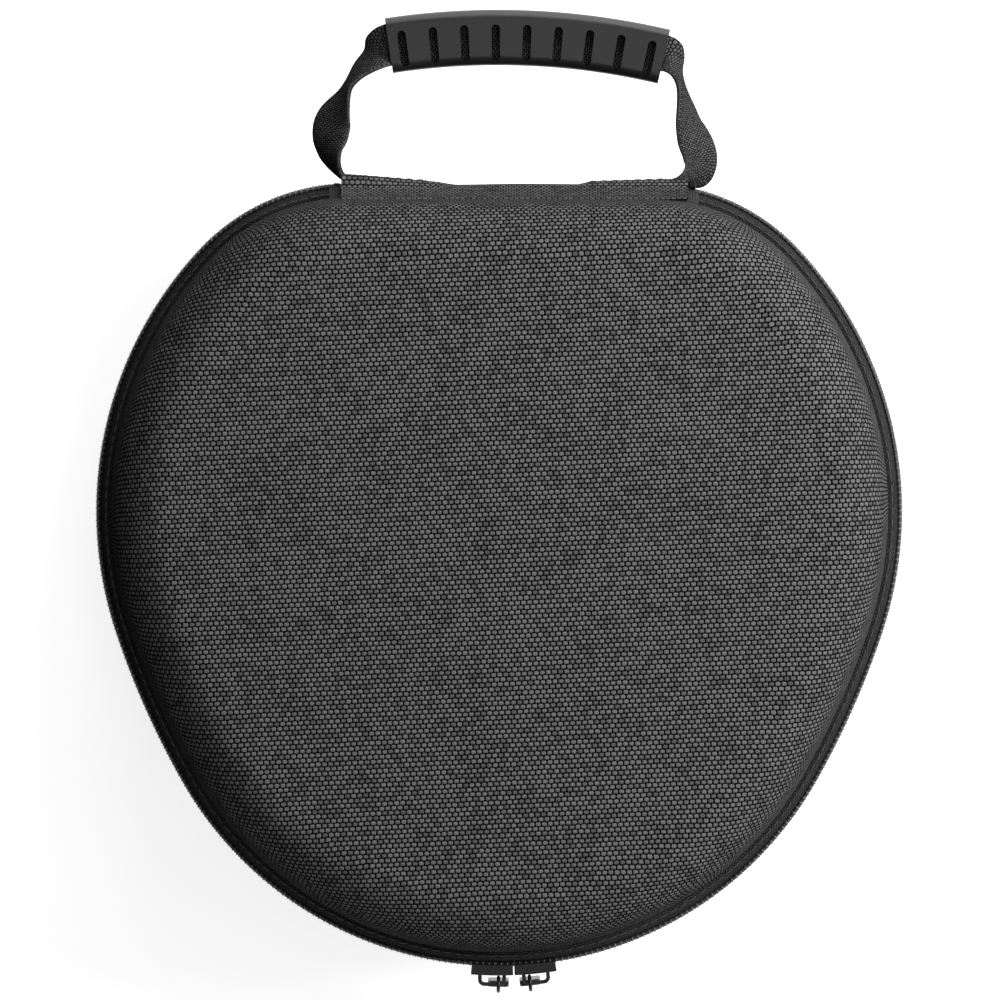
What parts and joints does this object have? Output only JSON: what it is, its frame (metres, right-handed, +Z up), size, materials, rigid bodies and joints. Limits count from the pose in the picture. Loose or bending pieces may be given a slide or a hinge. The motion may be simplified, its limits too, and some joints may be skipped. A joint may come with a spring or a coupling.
{
  "type": "headphone carrying case",
  "caption": "Rounded hard-shell case for over-ear headphones: two woven moulded halves with a fabric hinge, a coil zip with twin sliders and a webbing handle with a slotted rubber grip.",
  "frame": {"origin": "middle of the flat underside the case rests on", "axes": "+Z up through the lid, +Y towards the fabric hinge and the handle, +X to the right seen from above with the handle away from the viewer"},
  "size_m": [0.21, 0.2556, 0.096],
  "materials": {
    "woven_cover": "plain-woven ballistic nylon moulded over the shell, near black with a dull sheen",
    "eva_core": "moulded EVA foam, hidden between cover and lining",
    "lining_cloth": "brushed knit, soft and matt",
    "zip_tape": "fine woven polyester tape",
    "zip_coil": "nylon coil, slightly glossy",
    "sewing_thread": "twisted polyester thread",
    "binding_tape": "ribbed grosgrain",
    "hinge_cloth": "coarse basket-woven nylon",
    "strap_webbing": "ribbed nylon webbing",
    "grip_rubber": "soft black rubber, satin",
    "slider_metal": "zinc casting with black enamel",
    "cradle_cloth": "foam block in brushed knit",
    "pocket_net": "knitted polyester net",
    "elastic_hem": "flat woven elastic"
  },
  "bodies": {
    "base": {"base_cover": "woven_cover", "base_shell_core": "eva_core", "base_lining": "lining_cloth", "base_zip_coil": "zip_coil", "base_zip_tape": "zip_tape", "base_seam_thread": "sewing_thread", "base_inner_binding": "binding_tape", "zip_stop_left": "sewing_thread", "zip_stop_right": "sewing_thread", "base_hinge_flap": "hinge_cloth", "headphone_cradle": "cradle_cloth"},
    "lid": {"lid_cover": "woven_cover", "lid_shell_core": "eva_core", "lid_lining": "lining_cloth", "lid_zip_coil": "zip_coil", "lid_zip_tape": "zip_tape", "lid_seam_thread": "sewing_thread", "lid_inner_binding": "binding_tape", "lid_hinge_flap": "hinge_cloth", "accessory_net": "pocket_net", "accessory_net_hem": "elastic_hem"},
    "spine": {"hinge_panel": "hinge_cloth", "hinge_gusset": "lining_cloth", "strap_tail_left": "strap_webbing", "strap_tail_right": "strap_webbing"},
    "handle": {"handle_grip": "grip_rubber", "handle_strap_core": "strap_webbing", "strap_leg_left": "strap_webbing", "strap_leg_right": "strap_webbing"},
    "slider_left": {"slider_left_body": "slider_metal", "slider_left_crown": "slider_metal"},
    "slider_right": {"slider_right_body": "slider_metal", "slider_right_crown": "slider_metal"},
    "pull_left": {"pull_left": "slider_metal"},
    "pull_right": {"pull_right": "slider_metal"}
  },
  "joints": [
    {"name": "spine_fold", "type": "hinge", "parent": "base", "child": "spine", "pos_m": [0.004, 0.1013, 0.042], "axis": [-1, 0, 0], "range_deg": [0, 90]},
    {"name": "lid_open", "type": "hinge", "parent": "spine", "child": "lid", "pos_m": [0.004, 0.1013, 0.054], "axis": [-1, 0, 0], "range_deg": [0, 90]},
    {"name": "handle_swing", "type": "hinge", "parent": "spine", "child": "handle", "pos_m": [0.004, 0.106, 0.048], "axis": [-1, 0, 0], "range_deg": [-80, 10]},
    {"name": "slider_left_travel", "type": "hinge", "parent": "base", "child": "slider_left", "pos_m": [0, -0.0065, 0.048], "axis": [0, 0, -1], "range_deg": [0, 55]},
    {"name": "slider_right_travel", "type": "hinge", "parent": "base", "child": "slider_right", "pos_m": [0, -0.0065, 0.048], "axis": [0, 0, 1], "range_deg": [0, 50]},
    {"name": "pull_left_swing", "type": "hinge", "parent": "slider_left", "child": "pull_left", "pos_m": [-0.00021, -0.10601, 0.048], "axis": [-0.9998, 0.0192, 0], "range_deg": [0, 150]},
    {"name": "pull_right_swing", "type": "hinge", "parent": "slider_right", "child": "pull_right", "pos_m": [0.00802, -0.10569, 0.048], "axis": [-0.9952, -0.0976, 0], "range_deg": [0, 150]}
  ],
  "couplings": [
    {"joint": "spine_fold", "follows": "lid_open", "ratio": 1}
  ]
}
